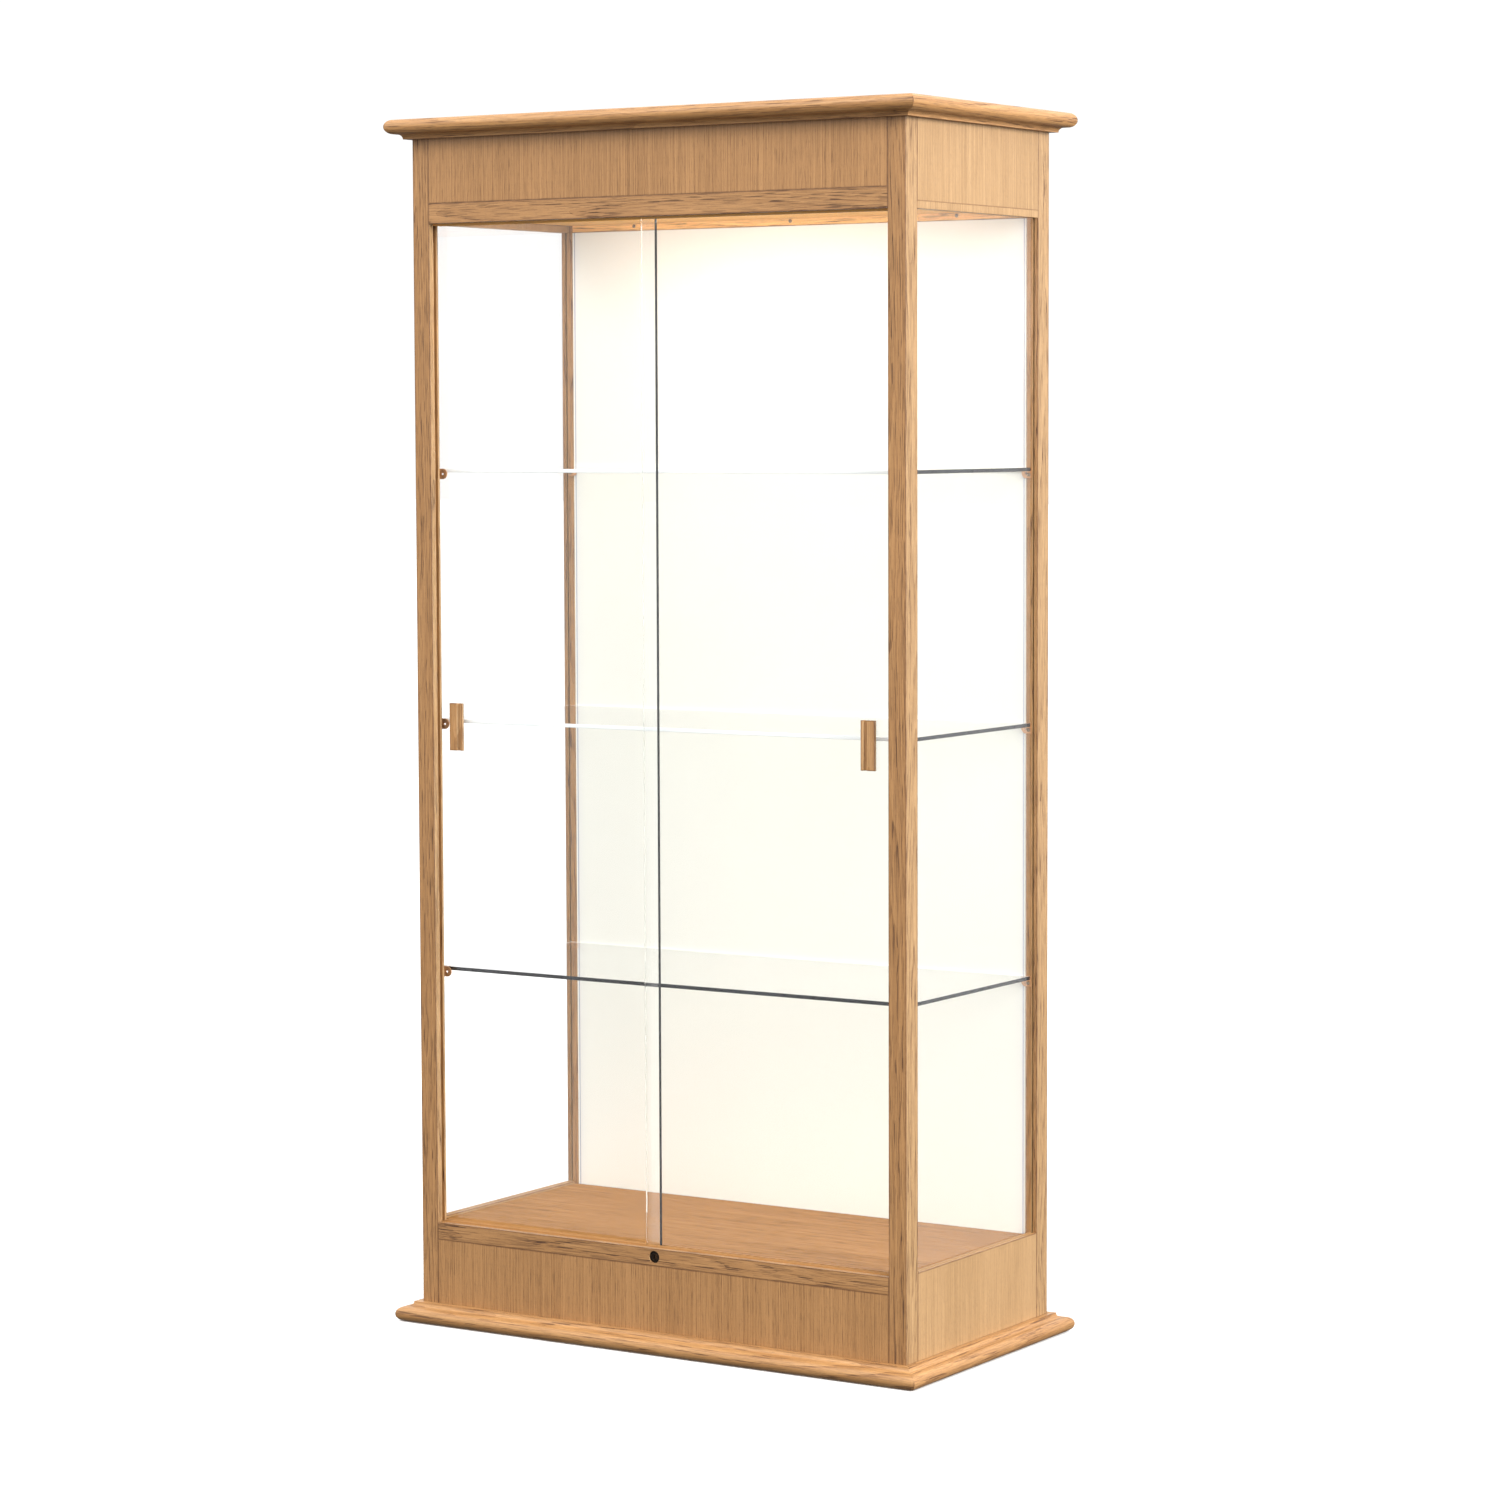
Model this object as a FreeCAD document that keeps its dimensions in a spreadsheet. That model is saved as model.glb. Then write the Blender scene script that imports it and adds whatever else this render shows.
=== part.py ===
"""Floor-standing glass display case with two bypass sliding glass doors.

Frame: +Z up, origin on the floor at the middle of the footprint, doors at -Y,
+X to the right of somebody who faces the doors. All lengths in millimetres.
"""
import FreeCAD, Part
import math
import os

from FreeCAD import Placement, Rotation, Vector

doc = FreeCAD.newDocument("display_case")

# --------------------------------------------------------------------------
# Driving dimensions
# --------------------------------------------------------------------------
DIMENSIONS = {
    # carcass, without the mouldings that go round it
    "case_width": 919.0,
    "case_depth": 450.0,
    "case_height": 1956.0,
    "board": 19.0,
    "top_board": 18.0,
    "kick_low": 12.0,
    # corner posts: an L section, thinner behind the doors and beside the back
    "post_width": 31.0,
    "post_depth": 35.5,
    "post_web": 24.5,
    "post_rebate": 11.5,
    # crown and base moulding, the same profile turned over
    "mould_height": 31.4,
    "mould_tip": 33.3,
    "nose_radius": 11.7,
    "mould_fillet": 11.0,
    "cove_radius": 7.4,
    # levels of the rails
    "bottom_rail_low": 137.0,
    "bottom_rail_high": 164.4,
    "top_rail_low": 1789.0,
    "top_rail_high": 1821.5,
    "side_rail_high": 1800.6,
    "side_sill_high": 168.0,
    "rear_rail_high": 1825.0,
    "rear_sill_low": 120.0,
    "rear_sill_high": 150.0,
    # deck, ceiling and back
    "deck_thickness": 14.0,
    "ceiling_low": 1801.0,
    "ceiling_thickness": 10.0,
    "back_thickness": 10.0,
    "back_recess": 1.0,
    "back_groove": 5.0,
    # fixed side glass, held in grooves
    "glass": 6.0,
    "side_glass_inset": 7.0,
    "glass_groove": 7.5,
    "groove_play": 0.3,
    # sliding doors and their tracks
    "front_door_inset": 13.0,
    "rear_door_inset": 25.0,
    "door_groove_play": 0.5,
    "track_front": 11.0,
    "track_rear": 34.5,
    "upper_track_recess": 14.0,
    "upper_track_drop": 3.0,
    "upper_groove": 13.0,
    "lower_track_recess": 5.0,
    "lower_track_rise": 1.5,
    "lower_groove": 4.5,
    "door_lift": 0.2,
    "door_top_engagement": 8.0,
    "door_side_play": 0.5,
    "post_groove": 7.0,
    "left_door_edge": -6.2,
    "right_door_edge": -27.0,
    # oak pulls, one on the front face of each door
    "pull_width": 25.0,
    "pull_height": 77.0,
    "pull_thickness": 5.0,
    "pull_level": 977.7,
    "left_pull_x": -397.9,
    "right_pull_x": 387.3,
    "pull_groove_radius": 3.6,
    "pull_groove_offset": 5.2,
    # glass shelves and the clips that carry them
    "lower_shelf_top": 583.0,
    "shelf_pitch": 406.4,
    "shelf_side_play": 2.2,
    "shelf_end_play": 1.9,
    "clip_radius": 8.5,
    "clip_plate": 1.5,
    "clip_hole": 2.0,
    "clip_screw_play": 0.3,
    "clip_drop": 8.5,
    "clip_tab": 13.5,
    "clip_screw_inset": 19.0,
    "clip_screw_drop": 2.8,
    "clip_outer_inset": 14.5,
    "front_clip_inset": 29.7,
    "rear_clip_inset": 23.5,
    # wood screws with a round head
    "screw_head_radius": 3.0,
    "screw_head_height": 1.5,
    "screw_shank_radius": 1.6,
    "screw_length": 14.0,
    "screw_slot": 0.8,
    "rear_screw_pitch": 308.0,
    "rear_screw_level": 1797.0,
    # key lock in the bottom rail
    "lock_x": -3.1,
    "lock_level": 151.0,
    "lock_head_radius": 9.5,
    "lock_head_play": 0.1,
    "lock_face": 2.0,
    "lock_head_depth": 10.0,
    "lock_body_radius": 7.0,
    "lock_depth": 22.0,
    "plug_radius": 5.0,
    "plug_play": 0.05,
    "key_slot_width": 1.6,
    "key_slot_height": 6.4,
    "key_slot_depth": 6.0,
    "crank_throw": 3.0,
    "crank_pin_radius": 1.5,
    "crank_pin_play": 0.2,
    "bolt_half_width": 9.0,
    "bolt_front": 25.5,
    "bolt_thickness": 3.0,
    "bolt_low": 142.0,
    "bolt_high": 157.0,
    "bolt_play": 0.5,
    "lock_pocket_depth": 30.5,
    "lock_pocket_low": 140.0,
    # light under the ceiling, hidden by the top rail
    "light_length": 800.0,
    "light_width": 22.0,
    "light_height": 11.5,
    "light_inset": 45.0,
    "light_wall": 1.5,
    "light_end": 30.0,
    "light_cavity": 9.5,
    "diffuser_thickness": 1.5,
    "board_width": 12.0,
    "board_thickness": 1.2,
    "chip_size": 3.0,
    "chip_height": 0.8,
    "chip_count": 36,
    "rocker_length": 18.0,
    "rocker_width": 10.0,
    "rocker_height": 5.0,
    "rocker_tilt": 5.0,
    "rocker_pocket": 8.0,
    "rocker_play": 1.0,
    "rocker_axle_radius": 1.2,
    "rocker_axle_level": 3.5,
    "rocker_axle_reach": 0.7,
    # low-voltage socket in the back of the top box
    "inlet_x": 380.0,
    "inlet_level": 1880.0,
    "inlet_plate": 22.0,
    "inlet_plate_thickness": 2.0,
    "inlet_body_radius": 5.5,
    "inlet_hole_radius": 2.8,
    "inlet_hole_depth": 10.0,
    "inlet_pin_radius": 1.0,
    # hidden base and cleats
    "block_length": 50.0,
    "block_depth": 46.0,
    "block_high": 70.0,
    "glide_radius": 12.5,
    "glide_height": 5.0,
    "cleat_width": 18.0,
    "cleat_height": 18.0,
    "fit_gap": 0.1,
}

sheet = doc.addObject("Spreadsheet::Sheet", "dims")
for row, (alias, value) in enumerate(DIMENSIONS.items(), start=1):
    sheet.set("A%d" % row, alias)
    sheet.set("B%d" % row, "%g" % value)
    sheet.setAlias("B%d" % row, alias)
doc.recompute()


def size(alias):
    """A driving dimension as a number, for shapes that code sets."""
    return float(getattr(sheet, alias))


# --------------------------------------------------------------------------
# Planes that many pieces share, as expressions on the sheet
# --------------------------------------------------------------------------
WIDE = "dims.case_width / 2"
DEEP = "dims.case_depth / 2"
CARCASS_TOP = "dims.case_height - dims.top_board"
POST_INNER = f"{WIDE} - dims.post_width"
WEB_INNER = f"{WIDE} - dims.post_web"
SIDE_INNER = f"{WIDE} - dims.board"
POST_BACK = f"-({DEEP}) + dims.post_depth"
REAR_POST_FRONT = f"{DEEP} - dims.post_depth"
FRONT_PANEL_INNER = f"-({DEEP}) + dims.board"
REAR_PANEL_INNER = f"{DEEP} - dims.board"
GLASS_OUTER = f"{WIDE} - dims.side_glass_inset"
GLASS_INNER = f"{WIDE} - dims.side_glass_inset - dims.glass"
BACK_FACE = f"{REAR_POST_FRONT} + dims.back_recess"
BACK_REAR = f"{BACK_FACE} + dims.back_thickness"
TRACK_FRONT = f"-({DEEP}) + dims.track_front"
TRACK_REAR = f"-({DEEP}) + dims.track_rear"
LOWER_TRACK_FLOOR = "dims.bottom_rail_high + dims.lower_track_rise - dims.lower_groove"
UPPER_TRACK_LOW = "dims.top_rail_low - dims.upper_track_drop"
DOOR_LOW = f"{LOWER_TRACK_FLOOR} + dims.door_lift"
DOOR_HIGH = f"{UPPER_TRACK_LOW} + dims.door_top_engagement"

subparts = []


def node(feature, name):
    """Make a feature a sub-part: its Label names its file."""
    feature.Label = name
    subparts.append(feature)
    return feature


# --------------------------------------------------------------------------
# Small parametric building blocks
# --------------------------------------------------------------------------
def block(name, x, y, z):
    """A box between two planes on each axis, every plane an expression."""
    box = doc.addObject("Part::Box", name)
    for prop, axis, (low, high) in (("Length", "x", x), ("Width", "y", y), ("Height", "z", z)):
        box.setExpression(prop, f"({high}) - ({low})")
        box.setExpression(f"Placement.Base.{axis}", low)
    return box


def rod(name, radius, length, axis, at):
    """A cylinder along +X, +Y or +Z from the point at."""
    turn = {
        "X": Rotation(Vector(0, 1, 0), 90),
        "Y": Rotation(Vector(1, 0, 0), -90),
        "Z": Rotation(),
    }[axis]
    cylinder = doc.addObject("Part::Cylinder", name)
    cylinder.Placement = Placement(Vector(), turn)
    cylinder.setExpression("Radius", radius)
    cylinder.setExpression("Height", length)
    for letter, place in zip("xyz", at):
        cylinder.setExpression(f"Placement.Base.{letter}", place)
    return cylinder


def fuse(name, *pieces):
    """One solid from several that touch or overlap."""
    joined = doc.addObject("Part::MultiFuse", name)
    joined.Shapes = list(pieces)
    joined.Refine = True
    return joined


def cut(name, base, *tools):
    """The base with every tool taken out of it."""
    result = doc.addObject("Part::Cut", name)
    result.Base = base
    result.Tool = tools[0] if len(tools) == 1 else fuse(f"{name}_tools", *tools)
    return result


def mirror_x(name, source):
    """The left-hand piece as the mirror image of the right-hand one."""
    image = doc.addObject("Part::Mirroring", name)
    image.Source = source
    image.Normal = Vector(1, 0, 0)
    image.Base = Vector(0, 0, 0)
    return image


def pair(stem, right):
    """Right and left sub-parts, mirror images across X = 0."""
    node(right, f"right_{stem}")
    node(mirror_x(f"left_{stem}_mirror", right), f"left_{stem}")


def both_sides(name, low, high, y, z):
    """Two blocks in one sub-part, the same on the right and on the left."""
    right = block(f"{name}_right", (low, high), y, z)
    group = doc.addObject("Part::Compound", f"{name}_group")
    group.Links = [right, mirror_x(f"{name}_left", right)]
    return node(group, name)


# --------------------------------------------------------------------------
# Crown and base mouldings: bullnose, cove and fillet, mitred at all corners
# --------------------------------------------------------------------------
def moulding(name, run, setback, turn, crown):
    """One length of moulding, made along X at the front and then turned.

    run is the carcass length it covers and setback the distance from the
    middle of the case to the face it is fixed to.
    """
    def level(height):
        return f"dims.case_height - ({height})" if crown else height

    def band(part, out_low, out_high, low, high):
        ends = (level(high), level(low)) if crown else (level(low), level(high))
        reach = f"({run}) / 2 + dims.mould_tip"
        return block(
            f"{name}_{part}",
            (f"-({reach})", reach),
            (f"-({setback}) - ({out_high})", f"-({setback}) - ({out_low})"),
            ends,
        )

    nose_height = "2 * dims.nose_radius"
    nose_centre = "dims.mould_tip - dims.nose_radius"
    cove_top = f"{nose_height} + dims.cove_radius"
    cove_out = "dims.mould_fillet + dims.cove_radius"
    length = f"({run}) + 2 * dims.mould_tip"
    start = f"-(({run}) / 2 + dims.mould_tip)"

    core = band("core", "0", nose_centre, "0", nose_height)
    nose = rod(
        f"{name}_nose", "dims.nose_radius", length, "X",
        (start, f"-({setback}) - ({nose_centre})", level("dims.nose_radius")),
    )
    fillet = band("fillet", "0", "dims.mould_fillet", nose_height, "dims.mould_height")
    corner = band("corner", "dims.mould_fillet", cove_out, nose_height, cove_top)
    hollow = rod(
        f"{name}_hollow", "dims.cove_radius", length, "X",
        (start, f"-({setback}) - ({cove_out})", level(cove_top)),
    )
    cove = cut(f"{name}_cove", corner, hollow)
    bar = fuse(f"{name}_bar", core, nose, fillet, cove)

    mitre = doc.addObject("Part::Wedge", f"{name}_mitre")
    mitre.setExpression("Xmin", start)
    mitre.setExpression("Xmax", f"-({start})")
    mitre.setExpression("X2min", f"-({run}) / 2")
    mitre.setExpression("X2max", f"({run}) / 2")
    mitre.setExpression("Ymin", f"-({setback}) - dims.mould_tip")
    mitre.setExpression("Ymax", f"-({setback})")
    for prop in ("Zmin", "Z2min"):
        mitre.setExpression(prop, "-dims.board")
    for prop in ("Zmax", "Z2max"):
        mitre.setExpression(prop, "dims.case_height + dims.board")

    piece = doc.addObject("Part::Common", f"{name}_mitred")
    piece.Base = bar
    piece.Tool = mitre
    piece.Placement = Placement(Vector(), Rotation(Vector(0, 0, 1), turn))
    return node(piece, name)


for place, crown in (("crown", True), ("base", False)):
    moulding(f"{place}_front_moulding", "dims.case_width", DEEP, 0, crown)
    moulding(f"{place}_right_moulding", "dims.case_depth", WIDE, 90, crown)
    moulding(f"{place}_rear_moulding", "dims.case_width", DEEP, 180, crown)
    moulding(f"{place}_left_moulding", "dims.case_depth", WIDE, 270, crown)

# --------------------------------------------------------------------------
# Corner posts
# --------------------------------------------------------------------------
GROOVE_X = (f"{GLASS_INNER} - dims.groove_play", f"{GLASS_OUTER} + dims.groove_play")
ALL_HEIGHT = ("-dims.board", "dims.case_height")


def front_post():
    """Right front post: door groove, door rebate and side-glass groove."""
    blank = block("front_post_blank", (POST_INNER, WIDE), (f"-({DEEP})", POST_BACK), ("0", CARCASS_TOP))
    rebate = block(
        "front_post_rebate",
        (f"{POST_INNER} - dims.board", WEB_INNER),
        (f"{POST_BACK} - dims.post_rebate", f"{POST_BACK} + dims.board"),
        ALL_HEIGHT,
    )
    door_front = f"-({DEEP}) + dims.front_door_inset - dims.door_groove_play"
    door_groove = block(
        "front_post_door_groove",
        (f"{POST_INNER} - dims.board", f"{POST_INNER} + dims.post_groove"),
        (door_front, f"{door_front} + dims.glass + 2 * dims.door_groove_play"),
        ALL_HEIGHT,
    )
    glass_groove = block(
        "front_post_glass_groove",
        GROOVE_X,
        (f"{POST_BACK} - dims.glass_groove", f"{POST_BACK} + dims.board"),
        ALL_HEIGHT,
    )
    return cut("front_post", blank, rebate, door_groove, glass_groove)


def rear_post():
    """Right rear post: rebate for the back panel and side-glass groove."""
    blank = block("rear_post_blank", (POST_INNER, WIDE), (REAR_POST_FRONT, DEEP), ("0", CARCASS_TOP))
    rebate = block(
        "rear_post_rebate",
        (f"{POST_INNER} - dims.board", WEB_INNER),
        (f"{REAR_POST_FRONT} - dims.board", f"{REAR_POST_FRONT} + dims.post_rebate"),
        ALL_HEIGHT,
    )
    glass_groove = block(
        "rear_post_glass_groove",
        GROOVE_X,
        (f"{REAR_POST_FRONT} - dims.board", f"{REAR_POST_FRONT} + dims.glass_groove"),
        ALL_HEIGHT,
    )
    return cut("rear_post", blank, rebate, glass_groove)


pair("front_post", front_post())
pair("rear_post", rear_post())

# --------------------------------------------------------------------------
# Panels, rails, deck, ceiling and back
# --------------------------------------------------------------------------
BETWEEN_POSTS = (f"-({POST_INNER})", POST_INNER)
FRONT_PANEL_Y = (f"-({DEEP})", FRONT_PANEL_INNER)
REAR_PANEL_Y = (REAR_PANEL_INNER, DEEP)
SIDE_PANEL_X = (SIDE_INNER, WIDE)
SIDE_Y = (POST_BACK, REAR_POST_FRONT)
INSIDE_X = (f"-({SIDE_INNER}) + dims.fit_gap", f"{SIDE_INNER} - dims.fit_gap")
INSIDE_Y = (f"{POST_BACK} + dims.fit_gap", f"{REAR_POST_FRONT} - dims.fit_gap")

node(block("front_fascia", BETWEEN_POSTS, FRONT_PANEL_Y, ("dims.top_rail_high", CARCASS_TOP)),
     "front_fascia_panel")
node(block("front_kick", BETWEEN_POSTS, FRONT_PANEL_Y, ("dims.kick_low", "dims.bottom_rail_low")),
     "front_kick_panel")

top_rail_blank = block("top_rail_blank", BETWEEN_POSTS, (f"-({DEEP})", POST_BACK),
                       ("dims.top_rail_low", "dims.top_rail_high"))
top_rail_recess = block("top_rail_recess", (f"-({WIDE})", WIDE), (TRACK_FRONT, TRACK_REAR),
                        (UPPER_TRACK_LOW, "dims.top_rail_low + dims.upper_track_recess"))
node(cut("top_rail", top_rail_blank, top_rail_recess), "front_top_rail")

bottom_rail_blank = block("bottom_rail_blank", BETWEEN_POSTS, (f"-({DEEP})", POST_BACK),
                          ("dims.bottom_rail_low", "dims.bottom_rail_high"))
bottom_rail_recess = block("bottom_rail_recess", (f"-({WIDE})", WIDE), (TRACK_FRONT, TRACK_REAR),
                           ("dims.bottom_rail_high - dims.lower_track_recess",
                            "dims.bottom_rail_high + dims.board"))
lock_head_bore = rod("lock_head_bore", "dims.lock_head_radius + dims.lock_head_play",
                     "dims.lock_head_depth + dims.fit_gap", "Y",
                     ("dims.lock_x", f"-({DEEP})", "dims.lock_level"))
lock_body_bore = rod("lock_body_bore", "dims.lock_body_radius + dims.lock_head_play",
                     "dims.lock_depth + dims.fit_gap", "Y",
                     ("dims.lock_x", f"-({DEEP})", "dims.lock_level"))
lock_pocket = block(
    "lock_pocket",
    ("dims.lock_x - dims.bolt_half_width - 2 * dims.bolt_play",
     "dims.lock_x + dims.bolt_half_width + 2 * dims.bolt_play"),
    (f"-({DEEP}) + dims.lock_depth", f"-({DEEP}) + dims.lock_pocket_depth"),
    ("dims.lock_pocket_low", "dims.bottom_rail_high"),
)
node(cut("bottom_rail", bottom_rail_blank, bottom_rail_recess, lock_head_bore, lock_body_bore,
         lock_pocket), "front_bottom_rail")


def side_panel(name, low, high, groove=None):
    """A side board between the posts, with a groove for the glass if given."""
    board = block(f"{name}_board", SIDE_PANEL_X, SIDE_Y, (low, high))
    if groove is None:
        return board
    return cut(name, board, block(f"{name}_groove", GROOVE_X, (f"-({DEEP})", DEEP), groove))


pair("kick_panel", side_panel(
    "side_kick", "dims.kick_low", "dims.side_sill_high",
    ("dims.side_sill_high - dims.glass_groove", "dims.side_sill_high + dims.board")))
pair("top_rail", side_panel(
    "side_rail", "dims.top_rail_low", "dims.side_rail_high",
    ("dims.top_rail_low - dims.board", "dims.top_rail_low + dims.glass_groove")))
pair("fascia_panel", side_panel("side_fascia", "dims.side_rail_high", CARCASS_TOP))

rear_rail_core = block("rear_rail_core", BETWEEN_POSTS, (REAR_POST_FRONT, DEEP),
                       ("dims.top_rail_low", "dims.rear_rail_high"))
rear_rail_lip = block("rear_rail_lip", (f"-({WEB_INNER})", WEB_INNER),
                      (REAR_POST_FRONT, f"{REAR_POST_FRONT} + dims.post_rebate"),
                      ("dims.top_rail_low", "dims.rear_rail_high"))
rear_rail_groove = block("rear_rail_groove", (f"-({WIDE})", WIDE),
                         (f"{BACK_FACE} - dims.groove_play", f"{BACK_REAR} + dims.groove_play"),
                         ("dims.top_rail_low - dims.board",
                          "dims.top_rail_low + dims.back_groove + dims.groove_play"))
node(cut("rear_rail", fuse("rear_rail_blank", rear_rail_core, rear_rail_lip), rear_rail_groove),
     "rear_top_rail")
node(block("rear_sill", BETWEEN_POSTS, (REAR_POST_FRONT, DEEP),
           ("dims.rear_sill_low", "dims.rear_sill_high")), "rear_bottom_rail")
node(block("rear_kick", BETWEEN_POSTS, REAR_PANEL_Y, ("dims.kick_low", "dims.rear_sill_low")),
     "rear_kick_panel")

rear_fascia_board = block("rear_fascia_board", BETWEEN_POSTS, REAR_PANEL_Y,
                          ("dims.rear_rail_high", CARCASS_TOP))
inlet_hole = rod("inlet_hole", "dims.inlet_body_radius + dims.lock_head_play", "2 * dims.board", "Y",
                 ("dims.inlet_x", f"{REAR_PANEL_INNER} - dims.board / 2", "dims.inlet_level"))
node(cut("rear_fascia", rear_fascia_board, inlet_hole), "rear_fascia_panel")

node(block("back", (f"-({WEB_INNER}) + dims.door_side_play", f"{WEB_INNER} - dims.door_side_play"),
           (BACK_FACE, BACK_REAR), ("dims.rear_sill_high", "dims.top_rail_low + dims.back_groove")),
     "back_panel")
node(block("deck", INSIDE_X, INSIDE_Y,
           ("dims.bottom_rail_high - dims.deck_thickness", "dims.bottom_rail_high")), "deck_panel")
node(block("ceiling", INSIDE_X, INSIDE_Y,
           ("dims.ceiling_low", "dims.ceiling_low + dims.ceiling_thickness")), "ceiling_panel")
node(block("top", (f"-({WIDE})", WIDE), (f"-({DEEP})", DEEP), (CARCASS_TOP, "dims.case_height")),
     "top_panel")

CLEAT_X = (f"{SIDE_INNER} - dims.cleat_width", SIDE_INNER)
DECK_LOW = "dims.bottom_rail_high - dims.deck_thickness"
CEILING_HIGH = "dims.ceiling_low + dims.ceiling_thickness"
both_sides("deck_cleats", *CLEAT_X, INSIDE_Y, (f"{DECK_LOW} - dims.cleat_height", DECK_LOW))
both_sides("ceiling_cleats", *CLEAT_X, INSIDE_Y, (CEILING_HIGH, f"{CEILING_HIGH} + dims.cleat_height"))

# --------------------------------------------------------------------------
# Fixed side glass
# --------------------------------------------------------------------------
GROOVE_END = "dims.glass_groove - dims.groove_play"
pair("side_glass", block(
    "side_glass", (GLASS_INNER, GLASS_OUTER),
    (f"{POST_BACK} - ({GROOVE_END})", f"{REAR_POST_FRONT} + {GROOVE_END}"),
    (f"dims.side_sill_high - ({GROOVE_END})", f"dims.top_rail_low + {GROOVE_END}")))

# --------------------------------------------------------------------------
# Door tracks, doors and pulls
# --------------------------------------------------------------------------
TRACK_X = (f"-({POST_INNER}) + dims.fit_gap", f"{POST_INNER} - dims.fit_gap")
TRACK_Y = (f"{TRACK_FRONT} + dims.fit_gap", f"{TRACK_REAR} - dims.fit_gap")


def track(name, z, groove):
    """A strip with one groove for each door."""
    strip = block(f"{name}_strip", TRACK_X, TRACK_Y, z)
    grooves = []
    for door in ("front", "rear"):
        edge = f"-({DEEP}) + dims.{door}_door_inset"
        grooves.append(block(
            f"{name}_{door}_groove", (f"-({WIDE})", WIDE),
            (f"{edge} - dims.door_groove_play", f"{edge} + dims.glass + dims.door_groove_play"),
            groove))
    return strip, grooves


upper_strip, upper_grooves = track(
    "upper_track", (UPPER_TRACK_LOW, "dims.top_rail_low + dims.upper_track_recess"),
    (f"{UPPER_TRACK_LOW} - dims.board", f"{UPPER_TRACK_LOW} + dims.upper_groove"))
node(cut("upper_track", upper_strip, *upper_grooves), "upper_door_track")

LOWER_TRACK_HIGH = "dims.bottom_rail_high + dims.lower_track_rise"
lower_strip, lower_grooves = track(
    "lower_track", ("dims.bottom_rail_high - dims.lower_track_recess", LOWER_TRACK_HIGH),
    (LOWER_TRACK_FLOOR, f"{LOWER_TRACK_HIGH} + dims.board"))
BOLT_Y = (f"-({DEEP}) + dims.bolt_front", f"-({DEEP}) + dims.bolt_front + dims.bolt_thickness")
bolt_slot = block(
    "bolt_slot",
    ("dims.lock_x - dims.bolt_half_width - dims.bolt_play",
     "dims.lock_x + dims.bolt_half_width + dims.bolt_play"),
    (f"{BOLT_Y[0]} - dims.bolt_play", f"{BOLT_Y[1]} + dims.bolt_play"),
    ("dims.bottom_rail_low", "dims.bottom_rail_high"))
node(cut("lower_track", lower_strip, *lower_grooves, bolt_slot), "lower_door_track")


def door(name, low, high, inset):
    """One frameless sliding pane."""
    face = f"-({DEEP}) + {inset}"
    return node(block(name, (low, high), (face, f"{face} + dims.glass"), (DOOR_LOW, DOOR_HIGH)),
                f"{name}_glass")


door("left_door", f"-({WEB_INNER}) + dims.door_side_play", "dims.left_door_edge",
     "dims.rear_door_inset")
door("right_door", "dims.right_door_edge",
     f"{POST_INNER} + dims.post_groove - 2 * dims.door_side_play", "dims.front_door_inset")


def pull(name, centre, inset, groove_side):
    """A small oak finger pull with one upright groove."""
    face = f"-({DEEP}) + {inset}"
    grip = block(
        f"{name}_grip", (f"{centre} - dims.pull_width / 2", f"{centre} + dims.pull_width / 2"),
        (f"{face} - dims.pull_thickness", face),
        ("dims.pull_level - dims.pull_height / 2", "dims.pull_level + dims.pull_height / 2"))
    groove = rod(
        f"{name}_groove", "dims.pull_groove_radius", "2 * dims.pull_height", "Z",
        (f"{centre} + {groove_side} * dims.pull_groove_offset", f"{face} - dims.pull_thickness",
         "dims.pull_level - dims.pull_height"))
    return node(cut(name, grip, groove), f"{name}_pull")


pull("left_door", "dims.left_pull_x", "dims.rear_door_inset", 1)
pull("right_door", "dims.right_pull_x", "dims.front_door_inset", -1)

# --------------------------------------------------------------------------
# Shelves, clips and screws
# --------------------------------------------------------------------------
SHELF_NAMES = ("lower_shelf", "middle_shelf", "upper_shelf")
for step, shelf_name in enumerate(SHELF_NAMES):
    shelf_top = f"dims.lower_shelf_top + {step} * dims.shelf_pitch"
    node(block(
        f"{shelf_name}_pane",
        (f"-({GLASS_INNER}) + dims.shelf_side_play", f"{GLASS_INNER} - dims.shelf_side_play"),
        (f"{POST_BACK} + dims.shelf_end_play", f"{REAR_POST_FRONT} - dims.shelf_end_play"),
        (f"{shelf_top} - dims.glass", shelf_top)), shelf_name)


def screw_shape():
    """A slotted round-head wood screw along +Z, its head above Z = 0."""
    head = Part.makeCylinder(size("screw_head_radius"), size("screw_head_height"))
    head = head.makeFillet(0.6 * size("screw_head_height"), [head.Edges[0]])
    shank = Part.makeCylinder(size("screw_shank_radius"), size("screw_length"),
                              Vector(0, 0, -size("screw_length")))
    width = size("screw_slot")
    slot = Part.makeBox(width, 3 * size("screw_head_radius"), size("screw_head_height"),
                        Vector(-width / 2, -1.5 * size("screw_head_radius"),
                               size("screw_head_height") / 2))
    return head.fuse(shank).cut(slot).removeSplitter()


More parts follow.
